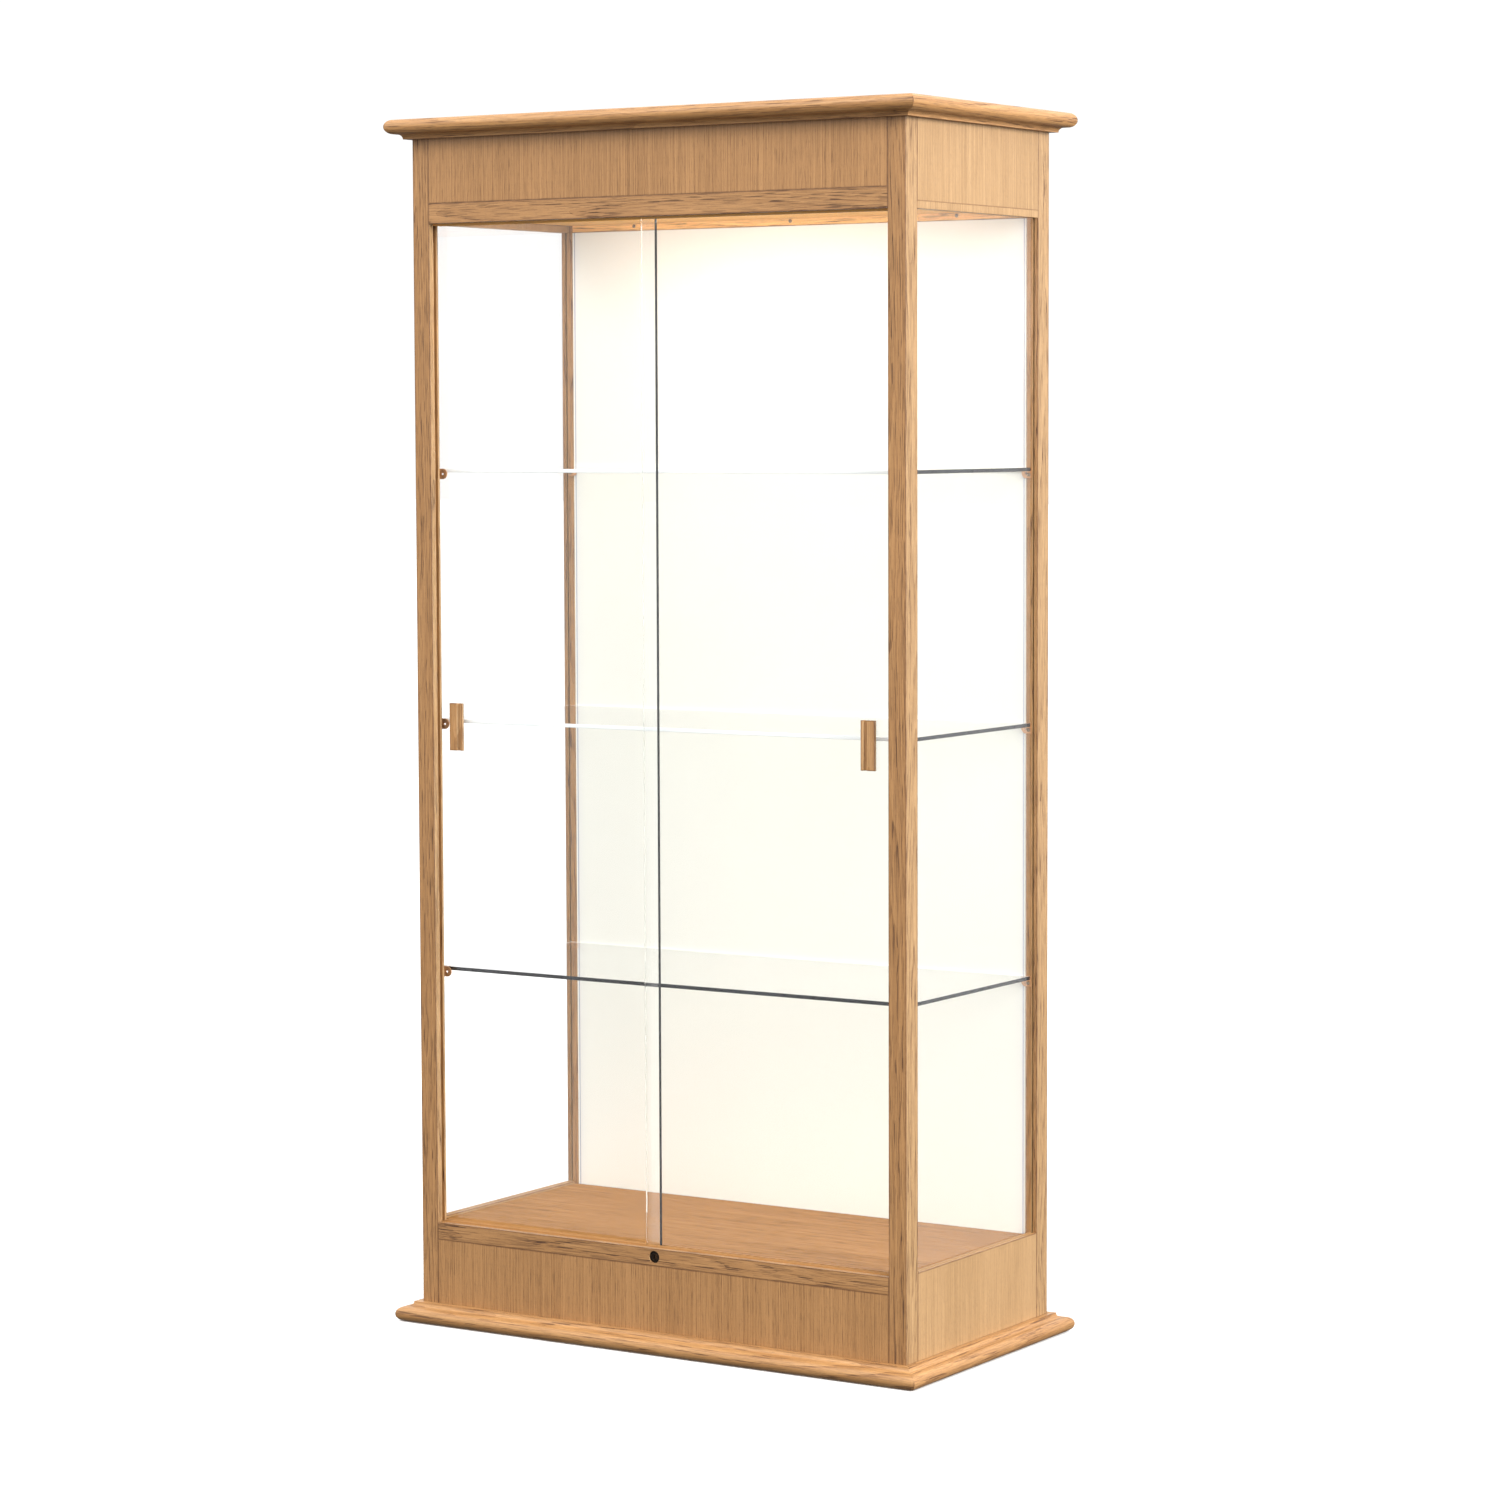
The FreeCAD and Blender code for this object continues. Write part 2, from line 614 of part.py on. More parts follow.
def clip_shape(inset):
    """Right front shelf clip: a plate with a round nose, and a tab that
    carries the pane. Its plate lies on the plane Y = 0, the shelf top at Z = 0."""
    radius, plate = size("clip_radius"), size("clip_plate")
    nose_x = size("case_width") / 2 - inset
    outer_x = size("case_width") / 2 - size("clip_outer_inset")
    level = -size("clip_drop")
    back = Vector(0, 1, 0)
    nose = Part.makeCylinder(radius, plate, Vector(nose_x, 0, level), back)
    body = Part.makeBox(outer_x - nose_x, plate, 2 * radius, Vector(nose_x, 0, level - radius))
    tab = Part.makeBox(outer_x - nose_x, size("clip_tab"), plate,
                       Vector(nose_x, 0, -size("glass") - plate))
    screw_x = size("case_width") / 2 - size("clip_screw_inset")
    holes = [
        Part.makeCylinder(size("clip_hole"), plate, Vector(nose_x, 0, level), back),
        Part.makeCylinder(size("screw_shank_radius") + size("clip_screw_play"), plate,
                          Vector(screw_x, 0, level - size("clip_screw_drop")), back),
    ]
    return nose.fuse([body, tab]).cut(holes).removeSplitter()


shelf_levels = [size("lower_shelf_top") + step * size("shelf_pitch") for step in range(3)]
front_plane = -size("case_depth") / 2 + size("post_depth")
mirror_plane_x = (Vector(), Vector(1, 0, 0))
mirror_plane_y = (Vector(), Vector(0, 1, 0))


def group_of_solids(name, shapes):
    """Identical pieces in one sub-part, each a solid of its own."""
    feature = doc.addObject("Part::Feature", name)
    feature.Shape = Part.makeCompound(shapes)
    return node(feature, name)


def at_all_shelves(shape):
    """Copies of a right-hand front shape at each shelf, right and left."""
    copies = []
    for level in shelf_levels:
        right = shape.translated(Vector(0, front_plane, level))
        copies += [right, right.mirror(*mirror_plane_x)]
    return copies


clip_screw = screw_shape()
clip_screw.rotate(Vector(), Vector(1, 0, 0), -90)
clip_screw.translate(Vector(size("case_width") / 2 - size("clip_screw_inset"),
                            size("clip_plate"), -size("clip_drop") - size("clip_screw_drop")))
clip_screws = at_all_shelves(clip_screw)
clip_screws += [screw.mirror(*mirror_plane_y) for screw in clip_screws]

group_of_solids("front_shelf_clips", at_all_shelves(clip_shape(size("front_clip_inset"))))
group_of_solids("rear_shelf_clips", [
    clip.mirror(*mirror_plane_y) for clip in at_all_shelves(clip_shape(size("rear_clip_inset")))])
group_of_solids("clip_screws", clip_screws)

rail_screw = screw_shape()
rail_screw.rotate(Vector(), Vector(1, 0, 0), 90)
group_of_solids("rear_rail_screws", [
    rail_screw.translated(Vector(side * size("rear_screw_pitch"), -front_plane,
                                 size("rear_screw_level")))
    for side in (-1, 0, 1)])

# --------------------------------------------------------------------------
# Key lock: barrel, turning plug with a crank pin, and the bolt it lifts
# --------------------------------------------------------------------------
LOCK_AXIS = ("dims.lock_x", "dims.lock_level")


def lock_rod(name, radius, front, back):
    """A cylinder on the lock's axis between two depths behind the front."""
    return rod(name, radius, f"({back}) - ({front})", "Y",
               (LOCK_AXIS[0], f"-({DEEP}) + {front}", LOCK_AXIS[1]))


barrel = fuse(
    "barrel_blank",
    lock_rod("barrel_head", "dims.lock_head_radius", "dims.lock_face", "dims.lock_head_depth"),
    lock_rod("barrel_body", "dims.lock_body_radius", "dims.lock_face", "dims.lock_depth"))
node(cut("barrel", barrel,
         lock_rod("barrel_bore", "dims.plug_radius + dims.plug_play", "0",
                  "dims.lock_depth + dims.board")), "lock_barrel")

PLUG_FACE = "dims.lock_face + dims.lock_head_play"
key_slot = block(
    "key_slot",
    ("dims.lock_x - dims.key_slot_width / 2", "dims.lock_x + dims.key_slot_width / 2"),
    (f"-({DEEP})", f"-({DEEP}) + {PLUG_FACE} + dims.key_slot_depth"),
    ("dims.lock_level - dims.key_slot_height / 2", "dims.lock_level + dims.key_slot_height / 2"))
plug_body = cut("plug_body", lock_rod("plug_bar", "dims.plug_radius", PLUG_FACE, "dims.lock_depth"),
                key_slot)
CRANK_OFFSET = "dims.crank_throw * cos(45 deg)"
crank_pin = rod(
    "crank_pin", "dims.crank_pin_radius",
    "dims.bolt_front + dims.bolt_thickness + dims.bolt_play - dims.lock_depth + dims.glass", "Y",
    (f"dims.lock_x + {CRANK_OFFSET}", f"-({DEEP}) + dims.lock_depth - dims.glass",
     f"dims.lock_level - {CRANK_OFFSET}"))
node(fuse("plug", plug_body, crank_pin), "lock_plug")

bolt_plate = block(
    "bolt_plate",
    ("dims.lock_x - dims.bolt_half_width", "dims.lock_x + dims.bolt_half_width"),
    BOLT_Y, ("dims.bolt_low", "dims.bolt_high"))
PIN_REACH = "(dims.crank_pin_radius + dims.crank_pin_play)"
crank_slot = block(
    "crank_slot",
    (f"dims.lock_x + {CRANK_OFFSET} - {PIN_REACH}", f"dims.lock_x + dims.crank_throw + {PIN_REACH}"),
    (f"-({DEEP})", f"-({DEEP}) + dims.lock_pocket_depth"),
    (f"dims.lock_level - {CRANK_OFFSET} - {PIN_REACH}",
     f"dims.lock_level - {CRANK_OFFSET} + {PIN_REACH}"))
node(cut("bolt", bolt_plate, crank_slot), "lock_bolt")

# --------------------------------------------------------------------------
# Light under the ceiling and its low-voltage inlet
# --------------------------------------------------------------------------
LIGHT_Y = (f"-({DEEP}) + dims.light_inset", f"-({DEEP}) + dims.light_inset + dims.light_width")
LIGHT_MIDDLE = f"-({DEEP}) + dims.light_inset + dims.light_width / 2"
LIGHT_LOW = "dims.ceiling_low - dims.light_height"
CAVITY_X = ("-dims.light_length / 2 + dims.light_wall", "dims.light_length / 2 - dims.light_end")
CAVITY_Y = (f"{LIGHT_Y[0]} + dims.light_wall", f"{LIGHT_Y[1]} - dims.light_wall")
ROCKER_X = "dims.light_length / 2 - dims.light_end / 2"

light_body = block("light_body", ("-dims.light_length / 2", "dims.light_length / 2"), LIGHT_Y,
                   (LIGHT_LOW, "dims.ceiling_low"))
light_cavity = block("light_cavity_space", CAVITY_X, CAVITY_Y,
                     (f"{LIGHT_LOW} - dims.board", f"{LIGHT_LOW} + dims.light_cavity"))
rocker_pocket = block(
    "rocker_pocket_space",
    (f"{ROCKER_X} - dims.rocker_length / 2 - dims.rocker_play",
     f"{ROCKER_X} + dims.rocker_length / 2 + dims.rocker_play"),
    (f"{LIGHT_MIDDLE} - dims.rocker_width / 2 - dims.rocker_play",
     f"{LIGHT_MIDDLE} + dims.rocker_width / 2 + dims.rocker_play"),
    (f"{LIGHT_LOW} - dims.board", f"{LIGHT_LOW} + dims.rocker_pocket"))
node(cut("light_shell", light_body, light_cavity, rocker_pocket), "light_housing")
node(block("diffuser", (f"{CAVITY_X[0]} + dims.fit_gap", f"{CAVITY_X[1]} - dims.fit_gap"),
           (f"{CAVITY_Y[0]} + dims.fit_gap", f"{CAVITY_Y[1]} - dims.fit_gap"),
           (LIGHT_LOW, f"{LIGHT_LOW} + dims.diffuser_thickness")), "light_diffuser")
LED_BOARD_TOP = f"{LIGHT_LOW} + dims.light_cavity"
node(block("led_strip", (f"{CAVITY_X[0]} + dims.light_wall", f"{CAVITY_X[1]} - dims.light_wall"),
           (f"{LIGHT_MIDDLE} - dims.board_width / 2", f"{LIGHT_MIDDLE} + dims.board_width / 2"),
           (f"{LED_BOARD_TOP} - dims.board_thickness", LED_BOARD_TOP)), "led_board")


def led_chips():
    """One small emitter at each step along the underside of the board."""
    start = -size("light_length") / 2 + 4 * size("light_wall")
    end = size("light_length") / 2 - size("light_end") - 4 * size("light_wall")
    count = int(size("chip_count"))
    edge = size("chip_size")
    middle = -size("case_depth") / 2 + size("light_inset") + size("light_width") / 2
    top = (size("ceiling_low") - size("light_height") + size("light_cavity")
           - size("board_thickness"))
    return [
        Part.makeBox(edge, edge, size("chip_height"),
                     Vector(start + (end - start) * step / (count - 1) - edge / 2,
                            middle - edge / 2, top - size("chip_height")))
        for step in range(count)
    ]


group_of_solids("led_emitters", led_chips())


def rocker_shape():
    """A rocker on an axle, its underside a shallow V, one half pressed in."""
    half = size("rocker_length") / 2
    height = size("rocker_height")
    slope = half * math.tan(math.radians(size("rocker_tilt")))
    outline = [(-half, height), (-half, -slope), (0, 0), (half, -slope), (half, height)]
    points = [Vector(x, -size("rocker_width") / 2, z) for x, z in outline]
    face = Part.Face(Part.makePolygon(points + points[:1]))
    rocker = face.extrude(Vector(0, size("rocker_width"), 0))
    pivot = Vector(0, 0, size("rocker_axle_level"))
    rocker.rotate(pivot, Vector(0, 1, 0), size("rocker_tilt"))
    reach = size("rocker_width") / 2 + size("rocker_axle_reach")
    axle = Part.makeCylinder(size("rocker_axle_radius"), 2 * reach,
                             pivot - Vector(0, reach, 0), Vector(0, 1, 0))
    return rocker.fuse(axle).removeSplitter()


rocker = doc.addObject("Part::Feature", "rocker")
rocker.Shape = rocker_shape()
rocker.Placement = Placement(
    Vector(size("light_length") / 2 - size("light_end") / 2,
           -size("case_depth") / 2 + size("light_inset") + size("light_width") / 2,
           size("ceiling_low") - size("light_height") + size("rocker_play") / 2), Rotation())
node(rocker, "light_switch_rocker")

inlet_half = "dims.inlet_plate / 2"
inlet_flange = block(
    "inlet_flange", (f"dims.inlet_x - {inlet_half}", f"dims.inlet_x + {inlet_half}"),
    (DEEP, f"{DEEP} + dims.inlet_plate_thickness"),
    (f"dims.inlet_level - {inlet_half}", f"dims.inlet_level + {inlet_half}"))
inlet_body = rod("inlet_body", "dims.inlet_body_radius", "dims.board", "Y",
                 ("dims.inlet_x", REAR_PANEL_INNER, "dims.inlet_level"))
INLET_FACE = f"{DEEP} + dims.inlet_plate_thickness"
inlet_socket = rod("inlet_socket", "dims.inlet_hole_radius", "dims.inlet_hole_depth", "Y",
                   ("dims.inlet_x", f"{INLET_FACE} - dims.inlet_hole_depth", "dims.inlet_level"))
inlet_pin = rod("inlet_pin", "dims.inlet_pin_radius",
                "dims.inlet_hole_depth - dims.inlet_pin_radius", "Y",
                ("dims.inlet_x", f"{INLET_FACE} - dims.inlet_hole_depth - dims.fit_gap",
                 "dims.inlet_level"))
inlet_shell = cut("inlet_shell", fuse("inlet_blank", inlet_flange, inlet_body), inlet_socket)
node(fuse("inlet", inlet_shell, inlet_pin), "power_inlet")

# --------------------------------------------------------------------------
# Hidden corner blocks in the base, and the glides under them
# --------------------------------------------------------------------------
block_x = size("case_width") / 2 - size("post_width")
block_y = size("case_depth") / 2 - size("board")
corner_block = Part.makeBox(size("block_length"), size("block_depth"),
                            size("block_high") - size("glide_height"),
                            Vector(block_x - size("block_length"), block_y - size("block_depth"),
                                   size("glide_height")))
glide = Part.makeCylinder(size("glide_radius"), size("glide_height"),
                          Vector(block_x - size("block_length") / 2,
                                 block_y - size("block_depth") / 2, 0))
glide = glide.makeChamfer(1.0, [glide.Edges[2]])


def at_four_corners(shape):
    """A right rear shape repeated at the four corners."""
    right = [shape, shape.mirror(*mirror_plane_y)]
    return right + [piece.mirror(*mirror_plane_x) for piece in right]


group_of_solids("corner_blocks", at_four_corners(corner_block))
group_of_solids("floor_glides", at_four_corners(glide))

# --------------------------------------------------------------------------
# Recompute, check and export
# --------------------------------------------------------------------------
doc.recompute()
for item in doc.Objects:
    if "Invalid" in item.State or "Error" in item.State:
        raise RuntimeError(f"{item.Label} did not compute: {item.State}")
names = [piece.Label for piece in subparts]
if len(set(names)) != len(names) or len(names) > 60:
    raise RuntimeError("sub-part names repeat, or there are too many of them")
for piece in subparts:
    shape = piece.Shape
    if shape.isNull() or not shape.isValid() or not shape.Solids:
        raise RuntimeError(f"{piece.Label} has no valid solid")

os.makedirs("parts", exist_ok=True)
for piece in subparts:
    piece.Shape.exportStep(os.path.join("parts", f"{piece.Label}.step"))
print(len(subparts), "sub-parts,", sum(len(piece.Shape.Solids) for piece in subparts), "solids")
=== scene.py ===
"""Looks of a tall oak and glass display case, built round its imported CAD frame.

Frame: metres, +Z up, doors at -Y, +X to the right of somebody who faces the doors.
"""
import itertools
import math

import bmesh
import bpy
from mathutils import Matrix, Vector


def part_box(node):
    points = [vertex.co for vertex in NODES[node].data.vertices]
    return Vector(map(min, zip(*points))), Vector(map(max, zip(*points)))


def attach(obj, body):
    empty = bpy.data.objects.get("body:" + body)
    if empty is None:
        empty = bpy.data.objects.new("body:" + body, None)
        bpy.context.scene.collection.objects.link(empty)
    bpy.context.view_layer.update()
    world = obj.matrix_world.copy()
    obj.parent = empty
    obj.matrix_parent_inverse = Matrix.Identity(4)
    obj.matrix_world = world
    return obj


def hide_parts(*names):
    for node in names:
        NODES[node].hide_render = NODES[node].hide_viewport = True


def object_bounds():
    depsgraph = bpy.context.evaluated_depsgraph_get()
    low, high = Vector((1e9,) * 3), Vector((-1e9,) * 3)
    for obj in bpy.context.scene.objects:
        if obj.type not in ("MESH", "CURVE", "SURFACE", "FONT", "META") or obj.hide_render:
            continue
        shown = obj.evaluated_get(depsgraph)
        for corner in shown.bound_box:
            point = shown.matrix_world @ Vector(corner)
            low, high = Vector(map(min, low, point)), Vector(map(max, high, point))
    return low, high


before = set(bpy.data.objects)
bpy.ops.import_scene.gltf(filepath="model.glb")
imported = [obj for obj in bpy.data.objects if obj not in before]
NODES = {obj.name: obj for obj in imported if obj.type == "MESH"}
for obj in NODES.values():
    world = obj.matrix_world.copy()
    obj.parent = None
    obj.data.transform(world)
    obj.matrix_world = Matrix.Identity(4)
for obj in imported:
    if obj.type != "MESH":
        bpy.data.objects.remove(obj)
CAD_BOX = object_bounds()
CASE_TOP = CAD_BOX[1].z
CASE_BODY = "case"

# --------------------------------------------------------------------------
# Colours, all linear
# --------------------------------------------------------------------------
OAK_LIGHT = (0.455, 0.238, 0.090)
OAK_DARK = (0.335, 0.163, 0.055)
OAK_PORE = (0.085, 0.034, 0.011)
# Painted sheen: faces turned to the left or right are made paler and less orange, as if lit from
# the side.
PAINTED_SIDE_SHEEN_TINT = (1.14, 1.35, 1.70)
# Painted light: a strong paling for a front face, as if the case's lamp shines on it.
PAINTED_LAMPLIGHT_TINT = (2.50, 2.75, 2.45)
PINE_LIGHT = (0.62, 0.44, 0.25)
PINE_RING = (0.45, 0.26, 0.12)
PINE_DARK = (0.36, 0.22, 0.11)
WHITE = (0.885, 0.878, 0.812)
WHITE_PEBBLE = (0.74, 0.74, 0.72)
PAINTED_SHADOW_WHITE = (0.52, 0.52, 0.60)
SCORE_SHADE_GREY = (0.40, 0.40, 0.50)
CLEAR_FILTER = (0.955, 0.960, 0.955)


def tone(colour, factor, warmth=1.0):
    """A colour made lighter or darker, and with warmth above 1 more orange."""
    red, green, blue = colour
    return (red * factor, green * factor, blue * factor / warmth)


# --------------------------------------------------------------------------
# Node trees
# --------------------------------------------------------------------------
class Shader:
    """A material's node tree, with a short call for each node the materials share."""

    def __init__(self, name):
        self.material = bpy.data.materials.new(name)
        self.material.use_nodes = True
        self.nodes = self.material.node_tree.nodes
        self.links = self.material.node_tree.links
        self.nodes.clear()
        self.output = self.nodes.new("ShaderNodeOutputMaterial")
        self.bsdf = self.nodes.new("ShaderNodeBsdfPrincipled")
        self.show(self.bsdf)
        coordinates = self.nodes.new("ShaderNodeTexCoord")
        self.point = coordinates.outputs["Object"]
        self.facing = coordinates.outputs["Normal"]

    def show(self, shader):
        """Make a shader node the one that the surface shows."""
        self.links.new(shader.outputs[0], self.output.inputs["Surface"])

    def put(self, socket, value):
        """Link a socket's source to it, or set its plain value."""
        if isinstance(value, bpy.types.NodeSocket):
            self.links.new(value, socket)
        elif isinstance(value, tuple) and len(value) == 3 and socket.type == "RGBA":
            socket.default_value = (*value, 1.0)
        else:
            socket.default_value = value

    def set(self, **values):
        """Set the Principled node's sockets: coat_weight stands for Coat Weight."""
        for name, value in values.items():
            label = name.replace("_", " ").title().replace("Ior", "IOR")
            self.put(self.bsdf.inputs[label], value)

    def math(self, operation, first, second=0.0, clamp=False):
        node = self.nodes.new("ShaderNodeMath")
        node.operation = operation
        node.use_clamp = clamp
        self.put(node.inputs[0], first)
        self.put(node.inputs[1], second)
        return node.outputs[0]

    def parts(self, vector):
        node = self.nodes.new("ShaderNodeSeparateXYZ")
        self.put(node.inputs[0], vector)
        return node.outputs

    def moved(self, vector, scale=(1, 1, 1), shift=(0, 0, 0)):
        node = self.nodes.new("ShaderNodeMapping")
        self.put(node.inputs["Vector"], vector)
        node.inputs["Scale"].default_value = scale
        node.inputs["Location"].default_value = shift
        return node.outputs[0]

    def noise(self, vector, scale=1.0, detail=2.0, roughness=0.5, distortion=0.0):
        node = self.nodes.new("ShaderNodeTexNoise")
        self.put(node.inputs["Vector"], vector)
        node.inputs["Scale"].default_value = scale
        node.inputs["Detail"].default_value = detail
        node.inputs["Roughness"].default_value = roughness
        node.inputs["Distortion"].default_value = distortion
        return node.outputs["Fac"]

    def ramp(self, value, low, high, out_low=0.0, out_high=1.0):
        """Map low..high smoothly on out_low..out_high, and hold it outside."""
        node = self.nodes.new("ShaderNodeMapRange")
        node.interpolation_type = "SMOOTHSTEP"
        for name, number in zip(("Value", "From Min", "From Max", "To Min", "To Max"),
                                (value, low, high, out_low, out_high)):
            self.put(node.inputs[name], number)
        return node.outputs[0]

    def mix(self, factor, first, second, blend="MIX"):
        node = self.nodes.new("ShaderNodeMix")
        node.data_type = "RGBA"
        node.blend_type = blend
        self.put(node.inputs[0], factor)
        self.put(node.inputs[6], first)
        self.put(node.inputs[7], second)
        return node.outputs[2]

    def bump(self, height, distance, strength=1.0):
        """Raise the surface by up to distance, in metres."""
        node = self.nodes.new("ShaderNodeBump")
        node.inputs["Strength"].default_value = strength
        node.inputs["Distance"].default_value = distance
        self.put(node.inputs["Height"], height)
        self.put(self.bsdf.inputs["Normal"], node.outputs[0])


def add(name, data):
    """A new object in the scene, at the origin."""
    thing = bpy.data.objects.new(name, data)
    bpy.context.scene.collection.objects.link(thing)
    return thing


def edge_nearness(shader, low, high, reach):
    """1 on the edges of an upright box and 0 beyond reach from them."""
    near = []
    for axis, place in enumerate(shader.parts(shader.point)):
        from_low = shader.math("SUBTRACT", place, low[axis])
        from_high = shader.math("SUBTRACT", high[axis], place)
        near.append(shader.math("MINIMUM", from_low, from_high))
    first = shader.math("MINIMUM", near[0], near[1])
    other = shader.math("MAXIMUM", near[0], near[1])
    second = shader.math("MAXIMUM", first, shader.math("MINIMUM", other, near[2]))
    return shader.ramp(second, 0.0, reach, 1.0, 0.0)


# --------------------------------------------------------------------------
# Oak
# --------------------------------------------------------------------------
AXES = {"X": 0, "Y": 1, "Z": 2}

# Texture frequencies per metre, across the grain and along it.
FIBRES = (620, 14)
STRANDS = (210, 5)
CLOUDS = (9, 1.6)
GROWTH_RINGS = (17, 1.0)
FLAT_PORES = (840, 26)
VENEER_LINES = (1080, 1.4)
VENEER_PORES = (1000, 30)
FINE_PORES = (2400, 130)
PINE_RINGS = (26, 1.4)
PINE_FIBRES = (900, 22)

OAK_RING_COUNT = 17.0
PINE_RING_COUNT = 14.0
WORN_REACH = 0.0024
PORE_DEPTH = 0.00022
PORE_BUMP = 0.55


def along(axis, frequencies, coarse=1.0):
    """Scales of a texture that runs along axis. coarse widens its lines."""
    across, lengthwise = frequencies
    scale = [across / coarse] * 3
    scale[AXES[axis]] = lengthwise
    return tuple(scale)


def flat_sawn(shader, point, axis):
    """Wide arched rings with rows of dark pores: the ring tone and the pores."""
    field = shader.noise(shader.moved(point, along(axis, GROWTH_RINGS)), detail=1.0,
                         roughness=0.4)
    rings = shader.math("FRACT", shader.math("MULTIPLY", field, OAK_RING_COUNT))
    row = shader.ramp(rings, 0.0, 0.45, 1.0, 0.0)
    ring_tone = shader.ramp(rings, 0.05, 0.9, 0.95, 0.15)
    fleck = shader.noise(shader.moved(point, along(axis, FLAT_PORES)), detail=1.0,
                         roughness=0.4)
    fleck = shader.ramp(fleck, 0.535, 0.585)
    return ring_tone, shader.math("MULTIPLY", fleck, shader.ramp(row, 0.0, 0.7, 0.42, 1.0))


def rift_cut(shader, point, axis, coarse):
    """The fine straight lines of veneer: the ring tone and the pores."""
    field = shader.noise(shader.moved(point, along(axis, VENEER_LINES, coarse)), detail=1.0,
                         roughness=0.5)
    ring_tone = shader.ramp(field, 0.36, 0.64, 0.0, 1.0)
    fleck = shader.noise(shader.moved(point, along(axis, VENEER_PORES, coarse)), detail=1.0)
    fleck = shader.math("MULTIPLY", shader.ramp(fleck, 0.52, 0.62),
                        shader.ramp(field, 0.42, 0.6, 0.10, 0.60))
    return ring_tone, fleck


def oak(name, node, axis, figure="flat", light=OAK_LIGHT, dark=OAK_DARK, flecks=1.0,
        gloss=1.0, coarse=1.0, wear=1.0, radial=1.0, lamplit=0.0, seed=0.0):
    """Satin-finished oak for one board, its grain along axis.

    flecks, gloss and wear scale the pores, the reflections and the dark edges,
    and coarse widens the grain's lines.
    The side sheen argument pales the faces turned to the left or right: painted
    sheen, as if lit from the side. The lamp light argument pales the front face:
    painted light from the case's lamp falling on it. seed picks the cut.
    """
    shader = Shader(name)
    shift = (seed * 3.17, seed * 1.73, seed * 2.41)
    point = shader.moved(shader.point, shift=shift)

    fibre = shader.noise(shader.moved(point, along(axis, FIBRES, coarse)), detail=3.0,
                         roughness=0.62)
    strand = shader.noise(shader.moved(point, along(axis, STRANDS, coarse)), detail=2.0,
                          roughness=0.55)
    cloud = shader.noise(shader.moved(point, along(axis, CLOUDS)), detail=2.0)
    if figure == "flat":
        ring_tone, fleck = flat_sawn(shader, point, axis)
    else:
        ring_tone, fleck = rift_cut(shader, point, axis, coarse)
    micro = shader.noise(shader.moved(point, along(axis, FINE_PORES)), detail=1.0)
    micro_pore = shader.ramp(micro, 0.60, 0.68)

    wood = shader.mix(ring_tone, light, dark)
    wood = shader.mix(shader.ramp(strand, 0.35, 0.70, 0.0, 0.40), wood, tone(dark, 0.88))
    wood = shader.mix(shader.ramp(fibre, 0.35, 0.72, 0.0, 0.42), wood, tone(dark, 0.72))
    wood = shader.mix(shader.ramp(cloud, 0.3, 0.75, 0.0, 0.30), wood, tone(light, 1.08, 0.96))
    facing = shader.parts(shader.facing)
    # Painted sheen: faces turned to the left or right are paled, as if lit from the side.
    side_sheen_painted = shader.mix(1.0, wood, PAINTED_SIDE_SHEEN_TINT, "MULTIPLY")
    sideways = shader.math("ABSOLUTE", facing[0])
    wood = shader.mix(shader.ramp(sideways, 0.5, 0.9, 0.0, radial), wood, side_sheen_painted)
    # Painted light: the front face is paled as if lit by the case's lamp.
    if lamplit:
        lamp_light_painted = shader.mix(1.0, wood, PAINTED_LAMPLIGHT_TINT, "MULTIPLY")
        wood = shader.mix(shader.ramp(facing[1], -0.9, -0.5, lamplit, 0.0), wood, lamp_light_painted)
    wood = shader.mix(shader.math("MULTIPLY", fleck, 0.90 * flecks, clamp=True), wood,
                      OAK_PORE)
    wood = shader.mix(shader.math("MULTIPLY", micro_pore, 0.35), wood, OAK_PORE)

    low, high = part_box(node)
    worn = edge_nearness(shader, low, high, WORN_REACH)
    wear_noise = shader.noise(point, scale=60.0, detail=2.0)
    patchy = shader.ramp(wear_noise, 0.35, 0.65, 0.60 * wear, 0.95 * wear)
    wood = shader.mix(shader.math("MULTIPLY", worn, patchy), wood, tone(OAK_PORE, 1.5))

    height = shader.math("SUBTRACT", shader.math("MULTIPLY", fibre, 0.35),
                         shader.math("ADD", fleck, shader.math("MULTIPLY", micro_pore, 0.5)))
    shader.bump(height, PORE_DEPTH, PORE_BUMP)
    rough = shader.ramp(fibre, 0.3, 0.7, 0.40, 0.50)
    rough = shader.math("ADD", rough, shader.math("MULTIPLY", fleck, 0.22))
    shader.set(base_color=wood, roughness=rough, ior=1.48, specular_ior_level=0.5 * gloss,
               coat_weight=0.15 * gloss, coat_roughness=0.28, coat_ior=1.5)
    return shader.material


# --------------------------------------------------------------------------
# Other materials
# --------------------------------------------------------------------------
SCORE_INSET = 0.004
SCORE_HALF = 0.0009
PAINTED_SHADOW_WIDTH = 0.020
DRAWN_LENGTH = 40   # how much longer than wide an extruded plastic's streaks are


def pine(name, axis):
    """Plain softwood for the hidden cleats and blocks."""
    shader = Shader(name)
    field = shader.noise(shader.moved(shader.point, along(axis, PINE_RINGS)), detail=1.0)
    rings = shader.math("FRACT", shader.math("MULTIPLY", field, PINE_RING_COUNT))
    fibre = shader.noise(shader.moved(shader.point, along(axis, PINE_FIBRES)), detail=3.0)
    wood = shader.mix(shader.ramp(rings, 0.55, 1.0), PINE_LIGHT, PINE_RING)
    wood = shader.mix(shader.ramp(fibre, 0.4, 0.7, 0.0, 0.35), wood, PINE_DARK)
    shader.bump(fibre, 0.0003, 0.6)
    shader.set(base_color=wood, roughness=shader.ramp(fibre, 0.3, 0.7, 0.62, 0.80))
    return shader.material


